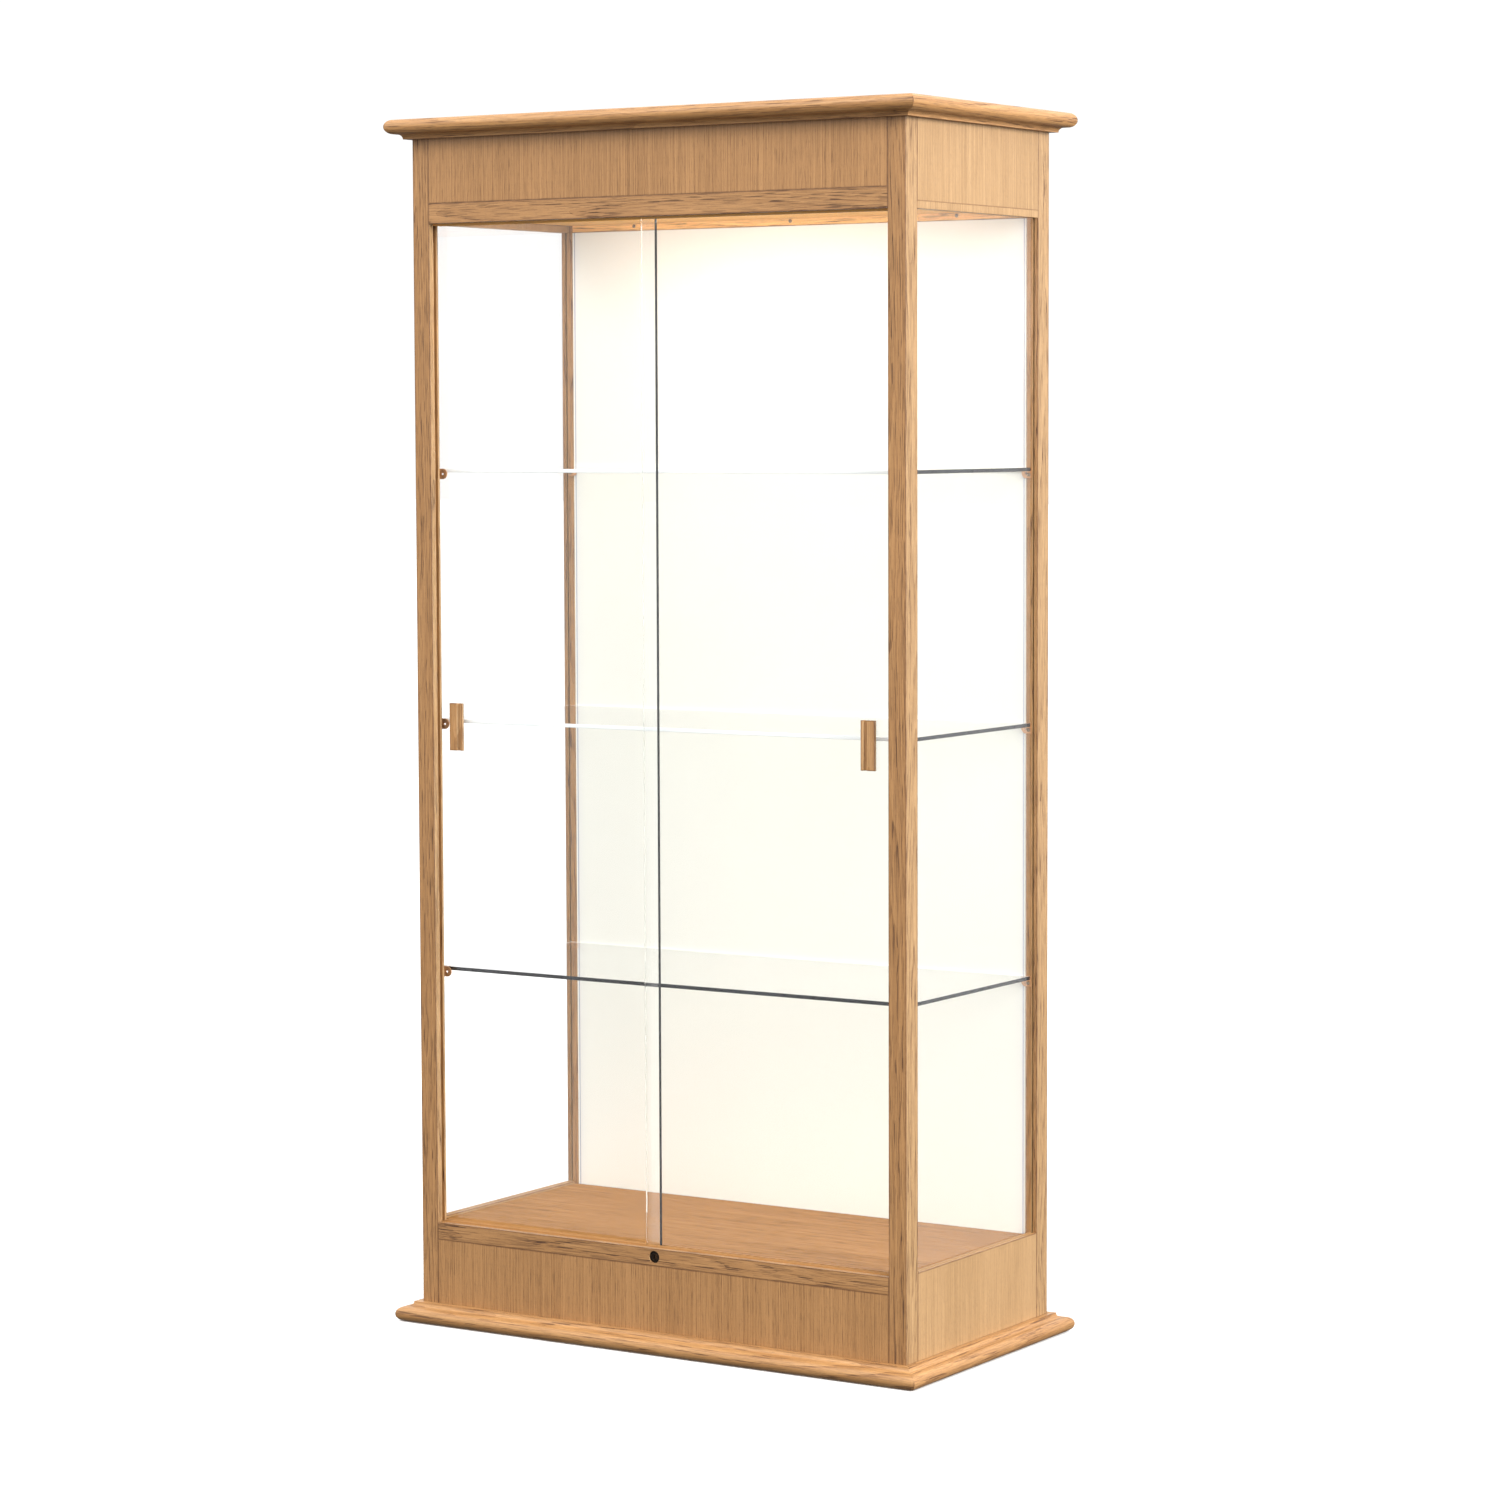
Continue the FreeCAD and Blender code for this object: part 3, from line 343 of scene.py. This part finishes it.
def laminate(score_x):
    """White melamine with a fine pebbled surface and a score line near each side. The line's grey
    is painted shade in the groove, and a band of painted shadow darkens the panel towards it.
    """
    shader = Shader("white_laminate")
    pebble = shader.noise(shader.point, scale=2600.0, detail=2.0)
    cloud = shader.noise(shader.point, scale=3.5, detail=2.0)
    white = shader.mix(shader.ramp(cloud, 0.3, 0.7), WHITE, tone(WHITE, 1.02))
    white = shader.mix(shader.ramp(pebble, 0.45, 0.8, 0.0, 0.10), white, WHITE_PEBBLE)
    side = shader.math("ABSOLUTE", shader.parts(shader.point)[0])
    from_line = shader.math("ABSOLUTE", shader.math("SUBTRACT", side, score_x))
    line = shader.ramp(from_line, SCORE_HALF, 1.6 * SCORE_HALF, 1.0, 0.0)
    # Painted shadow: the panel darkens over the last 20 mm inside each score line, as if shaded by
    # the posts.
    shade = shader.ramp(side, score_x - PAINTED_SHADOW_WIDTH, score_x, 0.0, 0.16)
    shade = shader.math("MULTIPLY", shade, shader.math("LESS_THAN", side, score_x))
    white = shader.mix(shade, white, PAINTED_SHADOW_WHITE)
    # Painted shade: the score line is coloured grey, as shade in its groove.
    white = shader.mix(shader.math("MULTIPLY", line, 0.85), white, SCORE_SHADE_GREY)
    shader.bump(shader.math("SUBTRACT", shader.math("MULTIPLY", pebble, 0.12), line), 0.00025, 0.5)
    shader.set(base_color=white, roughness=shader.ramp(pebble, 0.3, 0.7, 0.34, 0.46), ior=1.5)
    return shader.material


def clear_glass(name, tint, shine, fade=0.0):
    """Float glass with faint wipe marks. Light from lamps and from lit surfaces
    passes straight through it. fade is how much of it doesn't show at all."""
    shader = Shader(name)
    smear = shader.noise(shader.moved(shader.point, (5.0, 5.0, 9.0)), detail=4.0, roughness=0.7)
    shader.set(base_color=shader.mix(smear, tint, (1.0, 1.0, 1.0)), transmission_weight=1.0,
               ior=1.47, specular_ior_level=shine,
               roughness=shader.ramp(smear, 0.45, 0.8, 0.0, 0.018))
    path = shader.nodes.new("ShaderNodeLightPath")
    clear = shader.nodes.new("ShaderNodeBsdfTransparent")
    clear.inputs["Color"].default_value = (*CLEAR_FILTER, 1.0)
    both = shader.nodes.new("ShaderNodeMixShader")
    passing = shader.math("MAXIMUM", path.outputs["Is Shadow Ray"],
                          path.outputs["Is Diffuse Ray"])
    if fade:
        passing = shader.math("MAXIMUM", passing, fade)
    shader.links.new(passing, both.inputs[0])
    shader.links.new(shader.bsdf.outputs[0], both.inputs[1])
    shader.links.new(clear.outputs[0], both.inputs[2])
    shader.show(both)
    return shader.material


def glass_edge(name, deep, bright, transmission, shine):
    """A pane's ground and polished edge in one colour between deep and bright: a painted
    reflection of what the edge looks into, with fine grinding lines along it.
    """
    shader = Shader(name)
    line = shader.noise(shader.moved(shader.point, (900.0, 900.0, 900.0)), detail=2.0)
    cloud = shader.noise(shader.point, scale=14.0, detail=3.0)
    colour = shader.mix(shader.ramp(cloud, 0.35, 0.7), deep, bright)
    shader.bump(line, 0.00006, 0.4)
    shader.set(base_color=colour, roughness=shader.ramp(line, 0.3, 0.7, 0.10, 0.28),
               transmission_weight=transmission, ior=1.47, specular_ior_level=shine)
    return shader.material


def metal(name, colour, worn_colour, roughness, metallic, grain=(700.0, 700.0, 700.0)):
    """Painted, plated or brushed metal with fine marks and rubbed patches."""
    shader = Shader(name)
    marks = shader.noise(shader.moved(shader.point, grain), detail=3.0)
    patches = shader.noise(shader.point, scale=160.0, detail=3.0)
    shade = shader.mix(shader.ramp(patches, 0.48, 0.72, 0.0, 0.6), colour, worn_colour)
    shade = shader.mix(shader.ramp(marks, 0.4, 0.75, 0.0, 0.3), shade, tone(colour, 0.6))
    shader.bump(marks, 0.00005, 0.6)
    shader.set(base_color=shade, metallic=metallic,
               roughness=shader.ramp(marks, 0.3, 0.7, roughness, roughness + 0.15))
    return shader.material


def plastic(name, colour, roughness, texture=900.0, axis=None, gloss=1.0):
    """Moulded plastic with a fine texture, or extruded plastic drawn along an axis."""
    shader = Shader(name)
    scale = along(axis, (texture, texture / DRAWN_LENGTH)) if axis else (texture,) * 3
    grain = shader.noise(shader.moved(shader.point, scale), detail=2.0)
    cloud = shader.noise(shader.point, scale=30.0, detail=2.0)
    shade = shader.mix(shader.ramp(cloud, 0.3, 0.7, 0.0, 0.35), colour, tone(colour, 0.8))
    shade = shader.mix(shader.ramp(grain, 0.5, 0.8, 0.0, 0.25), shade, tone(colour, 1.25))
    shader.bump(grain, 0.00008, 0.5)
    shader.set(base_color=shade, specular_ior_level=0.5 * gloss,
               roughness=shader.ramp(grain, 0.3, 0.7, roughness, roughness + 0.12))
    return shader.material


def glowing(name, colour, glow, strength, texture):
    """A surface that gives off light, with an uneven texture under the glow."""
    shader = Shader(name)
    grain = shader.noise(shader.point, scale=texture, detail=2.0)
    shader.bump(grain, 0.0001, 0.4)
    shade = shader.mix(shader.ramp(grain, 0.3, 0.7), colour, tone(colour, 0.85))
    shader.set(base_color=shade, roughness=shader.ramp(grain, 0.3, 0.7, 0.45, 0.6),
               emission_color=shader.mix(shader.ramp(grain, 0.3, 0.7), glow, tone(glow, 0.9)),
               emission_strength=strength)
    return shader.material


# --------------------------------------------------------------------------
# CAD nodes: soft edges and materials
# --------------------------------------------------------------------------
WELD_REACH = 1e-5
SHARP_ANGLE = math.radians(35)


def soften(node, width):
    """Join the node's loose faces and round its edges a little."""
    piece = NODES[node]
    weld = piece.modifiers.new("weld", "WELD")
    weld.merge_threshold = WELD_REACH
    bevel = piece.modifiers.new("soft_edges", "BEVEL")
    bevel.width = width
    bevel.segments = 2
    bevel.limit_method = "ANGLE"
    bevel.angle_limit = SHARP_ANGLE
    bevel.use_clamp_overlap = True
    normals = piece.modifiers.new("even_shading", "WEIGHTED_NORMAL")
    normals.weight = 80


def dress(node, material):
    """Give a CAD node its material in every slot."""
    piece = NODES[node]
    for slot in piece.material_slots:
        slot.material = material


BOARD_EDGE = 0.0005
MOULD_EDGE = 0.0004
FITTING_EDGE = 0.00025

MOULD_LIGHT = (0.540, 0.290, 0.110)
MOULD_DARK = (0.370, 0.175, 0.056)
DECK_LIGHT = (0.430, 0.215, 0.078)
DECK_DARK = (0.300, 0.140, 0.046)
PULL_LIGHT = (0.530, 0.300, 0.125)
TRACK_BROWN = (0.420, 0.215, 0.085)
# Painted light: the upper track is coloured paler than the lower one, against the shade under it.
PAINTED_LIT_TRACK = (0.800, 0.440, 0.160)
# Painted light: the ceiling panel's bright orange stands in for the light that falls on it inside
# the case.
PAINTED_LIT_CEILING_LIGHT = (0.900, 0.500, 0.170)
PAINTED_LIT_CEILING_DARK = (0.780, 0.400, 0.125)

COPPER = (0.52, 0.27, 0.13)
COPPER_WORN = (0.68, 0.40, 0.22)
SCREW = (0.22, 0.17, 0.12)
SCREW_WORN = (0.40, 0.33, 0.26)
BRONZE = (0.020, 0.014, 0.010)
BRONZE_WORN = (0.09, 0.055, 0.03)
PLUG = (0.035, 0.022, 0.014)
PLUG_WORN = (0.16, 0.09, 0.045)
STEEL = (0.45, 0.45, 0.46)
STEEL_WORN = (0.60, 0.60, 0.60)
ENAMEL = (0.82, 0.82, 0.80)
ENAMEL_WORN = (0.90, 0.90, 0.88)
FROST = (0.95, 0.90, 0.80)
FROST_GLOW = (1.0, 0.80, 0.55)
BOARD_WHITE = (0.80, 0.80, 0.78)
PHOSPHOR = (0.90, 0.70, 0.20)
PHOSPHOR_GLOW = (1.0, 0.78, 0.45)
ROCKER_BLACK = (0.025, 0.025, 0.026)
INLET_BLACK = (0.022, 0.022, 0.023)
GLIDE_BROWN = (0.16, 0.09, 0.05)

seeds = itertools.count(1)


def board(node, axis, figure, edge=BOARD_EDGE, **looks):
    """One oak piece with its own cut of the wood."""
    soften(node, edge)
    dress(node, oak(f"oak_{node}", node, axis, figure, seed=next(seeds), **looks))


SIDE_NAMES = ("left", "right")
for side in SIDE_NAMES:
    for end in ("front", "rear"):
        board(f"{side}_{end}_post", "Z", "flat")
# The rear top rail's front face gets painted lamplight.
board("rear_top_rail", "X", "flat", flecks=0.7, lamplit=1.0)
board("front_top_rail", "X", "flat", flecks=1.1)
for side in ("front", "rear"):
    board(f"{side}_bottom_rail", "X", "flat", flecks=1.1)
    board(f"{side}_fascia_panel", "Z", "rift")
    board(f"{side}_kick_panel", "Z", "rift")
for side in SIDE_NAMES:
    board(f"{side}_top_rail", "Z", "rift", flecks=0.35, wear=0.1)
    board(f"{side}_fascia_panel", "Z", "rift", flecks=0.35, wear=0.7)
    board(f"{side}_kick_panel", "Z", "rift", flecks=0.35)
for place in ("crown", "base"):
    for side, axis in (("front", "X"), ("rear", "X"), ("left", "Y"), ("right", "Y")):
        board(f"{place}_{side}_moulding", axis, "flat", MOULD_EDGE,
              light=MOULD_LIGHT, dark=MOULD_DARK, flecks=0.8, radial=0.0)
# The ceiling's colour is painted light: oak coloured as if brightly lit.
board("ceiling_panel", "X", "rift", light=PAINTED_LIT_CEILING_LIGHT, dark=PAINTED_LIT_CEILING_DARK, flecks=0.4, gloss=0.0,
      coarse=4.0)
board("deck_panel", "X", "rift", light=DECK_LIGHT, dark=DECK_DARK, flecks=0.8, gloss=0.0,
      coarse=4.0)
board("top_panel", "X", "rift", flecks=0.6)
for side in SIDE_NAMES:
    board(f"{side}_door_pull", "Z", "flat", light=PULL_LIGHT, dark=MOULD_DARK, flecks=0.5)

back_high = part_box("back_panel")[1]
soften("back_panel", BOARD_EDGE)
dress("back_panel", laminate(back_high.x - SCORE_INSET))

for node, axis in (("deck_cleats", "Y"), ("ceiling_cleats", "Y"), ("corner_blocks", "Z")):
    soften(node, BOARD_EDGE)
    dress(node, pine(f"pine_{node}", axis))

for node in ("upper_door_track", "lower_door_track"):
    soften(node, FITTING_EDGE)
    # The upper track is painted paler: painted light in place of its shade.
    colour = PAINTED_LIT_TRACK if node == "upper_door_track" else TRACK_BROWN
    dress(node, plastic(f"extruded_{node}", colour, roughness=0.5, axis="X", gloss=0.0))

copper = metal("copper_lacquer", COPPER, COPPER_WORN, roughness=0.30, metallic=0.55)
for node in ("front_shelf_clips", "rear_shelf_clips"):
    soften(node, FITTING_EDGE)
    dress(node, copper)
for node in ("clip_screws", "rear_rail_screws"):
    dress(node, metal(f"steel_{node}", SCREW, SCREW_WORN, roughness=0.28, metallic=0.9))

for node in ("lock_barrel", "lock_plug", "lock_bolt", "light_housing", "light_switch_rocker",
             "power_inlet"):
    soften(node, FITTING_EDGE)
dress("lock_barrel", metal("lock_bronze", BRONZE, BRONZE_WORN, roughness=0.25, metallic=0.8))
dress("lock_plug", metal("plug_bronze", PLUG, PLUG_WORN, roughness=0.22, metallic=0.9,
                         grain=(1500.0, 200.0, 1500.0)))
dress("lock_bolt", metal("bolt_steel", STEEL, STEEL_WORN, roughness=0.25, metallic=1.0,
                         grain=(900.0, 900.0, 60.0)))
dress("light_housing", metal("white_enamel", ENAMEL, ENAMEL_WORN, roughness=0.30, metallic=0.0,
                             grain=(1200.0, 1200.0, 1200.0)))
dress("light_diffuser", glowing("frosted_diffuser", FROST, FROST_GLOW, strength=0.9,
                                texture=1500.0))
dress("led_board", plastic("led_board_lacquer", BOARD_WHITE, roughness=0.35))
dress("led_emitters", glowing("led_phosphor", PHOSPHOR, PHOSPHOR_GLOW, strength=8.0,
                              texture=3000.0))
dress("light_switch_rocker", plastic("rocker_plastic", ROCKER_BLACK, roughness=0.22,
                                     texture=1500.0))
dress("power_inlet", plastic("inlet_plastic", INLET_BLACK, roughness=0.42))
dress("floor_glides", plastic("glide_plastic", GLIDE_BROWN, roughness=0.5))

# --------------------------------------------------------------------------
# Glass panes with arrised edges
# --------------------------------------------------------------------------
ARRIS = 0.0007
FLAT_ENOUGH = 0.999
PANE_TINT = (0.985, 0.990, 0.988)
PANE_GLASS = clear_glass("float_glass", PANE_TINT, shine=0.12)
SHELF_GLASS = clear_glass("shelf_glass", (0.995, 0.998, 1.0), shine=0.5)
EDGE_CLEAR = clear_glass("clear_glass_edge", PANE_TINT, shine=0.12, fade=0.72)
# Painted reflection: some edges are coloured near-black, as if they look into the dark, and the
# others near-white, as if they catch bright light.
EDGE_PAINTED_DARK = glass_edge("glass_edge_painted_dark", deep=(0.004, 0.005, 0.007),
                       bright=(0.014, 0.017, 0.022), transmission=0.0, shine=0.06)
EDGE_PAINTED_BRIGHT = glass_edge("glass_edge_painted_bright", deep=(0.92, 0.95, 0.96),
                        bright=(0.97, 0.98, 0.98), transmission=0.10, shine=0.5)
PAINTED_DARK_SLOT, PAINTED_BRIGHT_SLOT, CLEAR_SLOT = 1, 2, 3


def edge_slot(facing, painted_dark_edges, clear_edges):
    """The material slot of an edge, from the axis and direction that it faces."""
    if facing in painted_dark_edges:
        return PAINTED_DARK_SLOT
    if facing in clear_edges:
        return CLEAR_SLOT
    return PAINTED_BRIGHT_SLOT


def pane(node, body, glass, painted_dark_edges, clear_edges=frozenset()):
    """A glass pane in place of its CAD node. The dark list gives the edges, as an axis and
    a direction, that get a painted dark reflection, as if they look into the dark, and
    clear_edges those that hardly show; the others get a painted bright reflection."""
    low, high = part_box(node)
    size = high - low
    thin = min(range(3), key=lambda axis: size[axis])
    mesh = bpy.data.meshes.new(f"{node}_pane")
    work = bmesh.new()
    bmesh.ops.create_cube(work, size=1.0)
    bmesh.ops.scale(work, vec=size, verts=work.verts)
    bmesh.ops.bevel(work, geom=work.edges[:], offset=ARRIS, segments=2, profile=0.6,
                    affect="EDGES")
    bmesh.ops.translate(work, vec=(low + high) / 2, verts=work.verts)
    work.normal_update()
    for face in work.faces:
        if abs(face.normal[thin]) > FLAT_ENOUGH:
            continue
        axis = max((a for a in range(3) if a != thin), key=lambda a: abs(face.normal[a]))
        facing = (axis, 1 if face.normal[axis] > 0 else -1)
        face.material_index = edge_slot(facing, painted_dark_edges, clear_edges)
        face.smooth = True
    work.to_mesh(mesh)
    work.free()
    piece = add(f"{node}_pane", mesh)
    for material in (glass, EDGE_PAINTED_DARK, EDGE_PAINTED_BRIGHT, EDGE_CLEAR):
        mesh.materials.append(material)
    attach(piece, body)
    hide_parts(node)


LEFT_EDGE = {(0, -1)}
RIGHT_EDGE = {(0, 1)}
FRONT_EDGE = {(1, -1)}
REAR_EDGE = {(1, 1)}
for side in SIDE_NAMES:
    pane(f"{side}_side_glass", CASE_BODY, PANE_GLASS, FRONT_EDGE | REAR_EDGE)
pane("left_door_glass", "left_door", PANE_GLASS, LEFT_EDGE | RIGHT_EDGE)
pane("right_door_glass", "right_door", PANE_GLASS, RIGHT_EDGE, LEFT_EDGE)
pane("lower_shelf", CASE_BODY, SHELF_GLASS, FRONT_EDGE | RIGHT_EDGE)
pane("middle_shelf", CASE_BODY, SHELF_GLASS, RIGHT_EDGE)
pane("upper_shelf", CASE_BODY, SHELF_GLASS, RIGHT_EDGE)

# --------------------------------------------------------------------------
# Floor, light and camera
# --------------------------------------------------------------------------
FLOOR_HALF = 60.0
FLOOR_DROP = 0.0006
FLOOR_GREY = (0.93, 0.93, 0.93)
FLOOR_WHITE = (0.955, 0.955, 0.955)
KEY_COLOUR = (1.0, 0.985, 0.96)
LAMP_COLOUR = (1.0, 0.95, 0.88)
CAMERA_PLACE = (3.6846, -5.7348, 1.4697)
CAMERA_TURN = 32.456     # degrees round from the front to the right
CAMERA_DIP = 4.430       # degrees below level
CAMERA_ROLL = -0.205
CAMERA_LENS = 101.66     # mm, on a 36 mm sensor
CAMERA_SENSOR = 36.0


def make_floor():
    """A wide white floor just under the case."""
    mesh = bpy.data.meshes.new("studio_floor")
    half = FLOOR_HALF
    corners = [(-half, -half, 0), (half, -half, 0), (half, half, 0), (-half, half, 0)]
    mesh.from_pydata(corners, [], [(0, 1, 2, 3)])
    floor = add("studio_floor", mesh)
    floor.location.z = -FLOOR_DROP
    floor.visible_diffuse = False
    floor.visible_glossy = False
    shader = Shader("pale_floor")
    speckle = shader.noise(shader.point, scale=40.0, detail=3.0)
    shader.set(base_color=shader.mix(shader.ramp(speckle, 0.3, 0.7), FLOOR_GREY, FLOOR_WHITE),
               roughness=0.7)
    mesh.materials.append(shader.material)


def make_sky(overhead, level, below):
    """White light: brightest overhead, even at eye level and weak from below."""
    world = bpy.data.worlds.new("studio")
    bpy.context.scene.world = world
    world.use_nodes = True
    tree = world.node_tree
    direction = tree.nodes.new("ShaderNodeTexCoord").outputs["Generated"]
    parts = tree.nodes.new("ShaderNodeSeparateXYZ")
    tree.links.new(direction, parts.inputs[0])
    total = tree.nodes.new("ShaderNodeMath")
    steps = ((-0.15, -0.05, below, level), (0.20, 0.60, 0.0, overhead - level))
    for socket, values in zip(total.inputs, steps):
        step = tree.nodes.new("ShaderNodeMapRange")
        for name, value in zip(("From Min", "From Max", "To Min", "To Max"), values):
            step.inputs[name].default_value = value
        tree.links.new(parts.outputs[2], step.inputs["Value"])
        tree.links.new(step.outputs[0], socket)
    tree.links.new(total.outputs[0], tree.nodes["Background"].inputs["Strength"])
    tree.nodes["Background"].inputs["Color"].default_value = (1.0, 1.0, 1.0, 1.0)


def area_light(name, place, target, size, power, colour=(1.0, 1.0, 1.0)):
    """A rectangular lamp at place that faces target."""
    lamp = bpy.data.lights.new(name, "AREA")
    lamp.shape = "RECTANGLE"
    lamp.size, lamp.size_y = size
    lamp.energy = power
    lamp.color = colour
    thing = add(name, lamp)
    thing.location = place
    thing.rotation_euler = (Vector(target) - Vector(place)).to_track_quat("-Z", "Y").to_euler()
    thing.visible_camera = False
    thing.visible_transmission = False


def make_lights():
    """A soft key from the right, a wide top light, the case's own lamp, and a fill
    inside the case that faces the back panel's top."""
    middle = (0.0, 0.0, CASE_TOP / 2)
    area_light("key_right", (6.0, -1.6, 3.4), middle, (3.0, 3.5), power=560.0,
               colour=KEY_COLOUR)
    area_light("top_front", (-1.0, -3.6, 4.8), middle, (4.0, 1.6), power=115.0)
    low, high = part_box("light_diffuser")
    lamp_place = ((low.x + high.x) / 2, (low.y + high.y) / 2, low.z - 0.002)
    area_light("case_lamp", lamp_place, (lamp_place[0], lamp_place[1] + 0.08, 0.0),
               (0.8 * (high.x - low.x), high.y - low.y), power=0.8, colour=LAMP_COLOUR)
    area_light("case_fill", (0.0, -0.12, low.z - 0.15), (0.0, 0.20, low.z + 0.03),
               (0.78, 0.16), power=1.6)


def make_camera():
    """The photograph's camera, solved from the case's own edges."""
    lens = bpy.data.cameras.new("camera")
    lens.sensor_width = CAMERA_SENSOR
    lens.lens = CAMERA_LENS
    lens.clip_end = 200.0
    camera = add("camera", lens)
    turn = (Matrix.Rotation(math.radians(CAMERA_TURN), 4, "Z")
            @ Matrix.Rotation(math.radians(90.0 - CAMERA_DIP), 4, "X")
            @ Matrix.Rotation(math.radians(CAMERA_ROLL), 4, "Z"))
    camera.matrix_world = Matrix.Translation(CAMERA_PLACE) @ turn
    bpy.context.scene.camera = camera


make_floor()
make_sky(overhead=1.60, level=1.06, below=0.20)
make_lights()
make_camera()
bpy.context.scene.view_settings.view_transform = "Standard"

bpy.context.view_layer.update()
